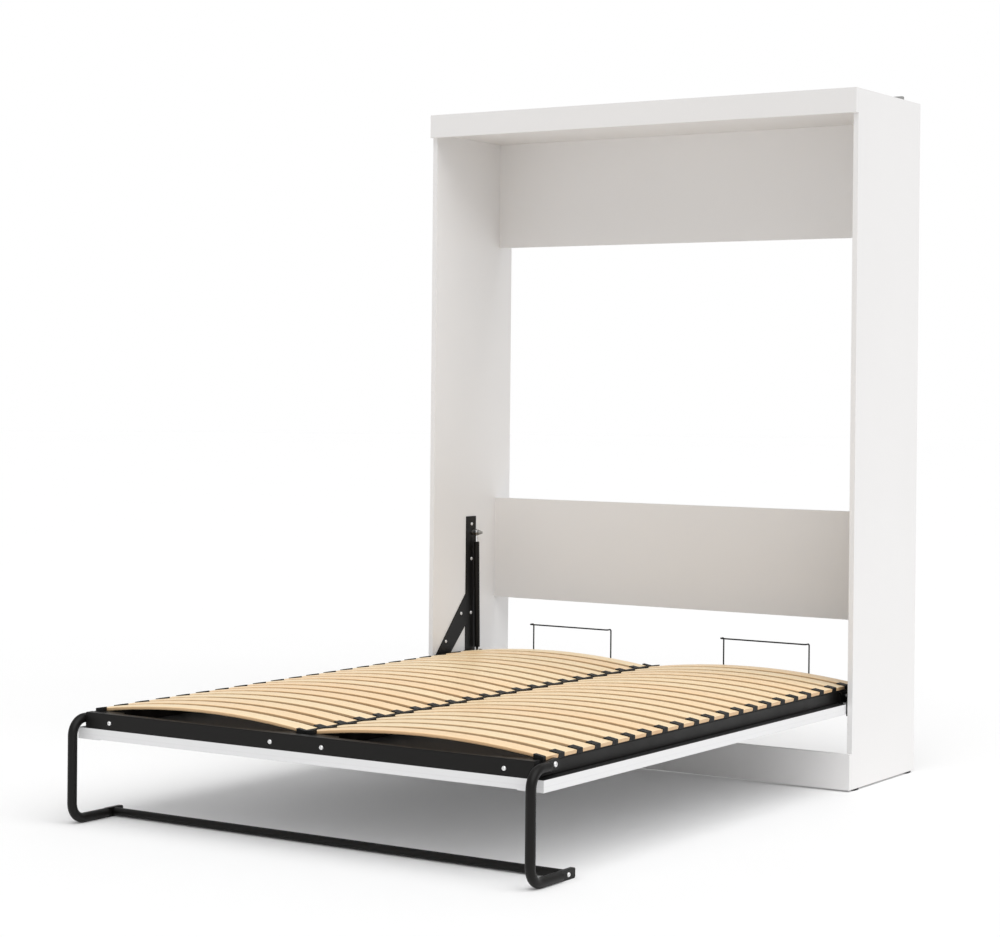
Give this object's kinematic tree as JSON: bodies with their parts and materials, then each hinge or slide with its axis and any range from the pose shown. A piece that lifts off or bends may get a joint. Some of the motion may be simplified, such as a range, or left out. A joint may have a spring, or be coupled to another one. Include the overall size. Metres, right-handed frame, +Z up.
{
  "type": "fold-down wall bed",
  "caption": "Queen fold-down wall bed: a white open-backed cabinet, a black steel slat bed hinged at the head end, gas springs and a swinging foot leg frame.",
  "frame": {"origin": "on the floor, in the middle of the footprint of the opened bed and its cabinet", "axes": "+X to the right seen from the foot of the bed, +Y from the foot towards the wall, +Z up"},
  "size_m": [1.651, 2.379, 2.283],
  "materials": {
    "cabinet_board": "white melamine-faced board, satin",
    "face_board": "white melamine-faced board, satin",
    "slat_wood": "pale bent birch lamination, clear satin lacquer",
    "holder_plastic": "black flexible plastic, matte",
    "glide_plastic": "black plastic, matte",
    "bush_plastic": "black bearing plastic",
    "zinc_steel": "zinc-plated steel",
    "bright_fasteners": "bright zinc-plated steel",
    "rod_chrome": "hard chrome, polished",
    "gas_black": "black powder coat, satin",
    "wire_black": "black powder coat, satin",
    "frame_black": "black powder coat, fine satin texture"
  },
  "bodies": {
    "cabinet": {"left_side_panel": "cabinet_board", "right_side_panel": "cabinet_board", "top_panel": "cabinet_board", "header_fascia": "cabinet_board", "kick_board": "cabinet_board", "upper_back_rail": "cabinet_board", "headboard_rail": "cabinet_board", "levelling_glides": "glide_plastic", "wall_bracket_left": "zinc_steel", "wall_bracket_right": "zinc_steel", "wall_bracket_screws": "zinc_steel", "cam_locks": "zinc_steel", "cam_bolts": "zinc_steel", "hinge_bracket_left": "frame_black", "hinge_bracket_right": "frame_black", "hinge_bracket_screws": "bright_fasteners", "pivot_pin_left": "zinc_steel", "pivot_pin_right": "zinc_steel", "gas_upper_stud_left": "zinc_steel", "gas_upper_stud_right": "zinc_steel"},
    "bed": {"centre_rail_left": "frame_black", "centre_rail_right": "frame_black", "corner_brackets": "frame_black", "face_centre_panel": "face_board", "face_panel": "face_board", "face_panel_screws": "zinc_steel", "face_stile_left": "face_board", "face_stile_right": "face_board", "foot_rail": "frame_black", "foot_rail_bolts": "bright_fasteners", "foot_rail_nuts": "zinc_steel", "head_rail": "frame_black", "inner_slat_holders_left": "holder_plastic", "inner_slat_holders_right": "holder_plastic", "leg_pivot_bolt_left": "bright_fasteners", "leg_pivot_bolt_right": "bright_fasteners", "lift_lever_bolts": "bright_fasteners", "lift_lever_left": "frame_black", "lift_lever_right": "frame_black", "mattress_retainer_left": "wire_black", "mattress_retainer_right": "wire_black", "outer_slat_holders_left": "holder_plastic", "outer_slat_holders_right": "holder_plastic", "pivot_bush_left": "bush_plastic", "pivot_bush_right": "bush_plastic", "side_rail_left": "frame_black", "side_rail_right": "frame_black", "slats_left": "slat_wood", "slats_right": "slat_wood"},
    "leg_frame": {"leg_tube_left": "frame_black", "leg_tube_right": "frame_black", "leg_cross_bar": "frame_black", "leg_cross_bolts": "bright_fasteners"},
    "gas_rod_left": {"gas_rod_left": "rod_chrome"},
    "gas_rod_right": {"gas_rod_right": "rod_chrome"},
    "gas_cylinder_left": {"gas_cylinder_left": "gas_black", "gas_lower_stud_left": "zinc_steel"},
    "gas_cylinder_right": {"gas_cylinder_right": "gas_black", "gas_lower_stud_right": "zinc_steel"}
  },
  "joints": [
    {"name": "bed_fold", "type": "hinge", "parent": "cabinet", "child": "bed", "pos_m": [0, 0.7135, 0.266], "axis": [1, 0, 0], "range_deg": [-90, 0]},
    {"name": "leg_fold", "type": "hinge", "parent": "bed", "child": "leg_frame", "pos_m": [0, -1.0575, 0.309], "axis": [1, 0, 0], "range_deg": [-187, 0]},
    {"name": "gas_tilt_left", "type": "hinge", "parent": "cabinet", "child": "gas_rod_left", "pos_m": [-0.79, 0.9425, 0.754], "axis": [1, 0, 0], "range_deg": [-15.7, 0]},
    {"name": "gas_extend_left", "type": "slide", "parent": "gas_rod_left", "child": "gas_cylinder_left", "axis": [0, 0.0271, -0.9996], "range_m": [0, 0.3097]},
    {"name": "gas_tilt_right", "type": "hinge", "parent": "cabinet", "child": "gas_rod_right", "pos_m": [0.79, 0.9425, 0.754], "axis": [1, 0, 0], "range_deg": [-15.7, 0]},
    {"name": "gas_extend_right", "type": "slide", "parent": "gas_rod_right", "child": "gas_cylinder_right", "axis": [0, 0.0271, -0.9996], "range_m": [0, 0.3097]}
  ],
  "couplings": [
    {"joint": "gas_tilt_left", "follows": "bed_fold", "ratio": 0.1739},
    {"joint": "gas_extend_left", "follows": "bed_fold", "m_per_rad": -0.19701},
    {"joint": "gas_tilt_right", "follows": "bed_fold", "ratio": 0.1739},
    {"joint": "gas_extend_right", "follows": "bed_fold", "m_per_rad": -0.19701}
  ]
}
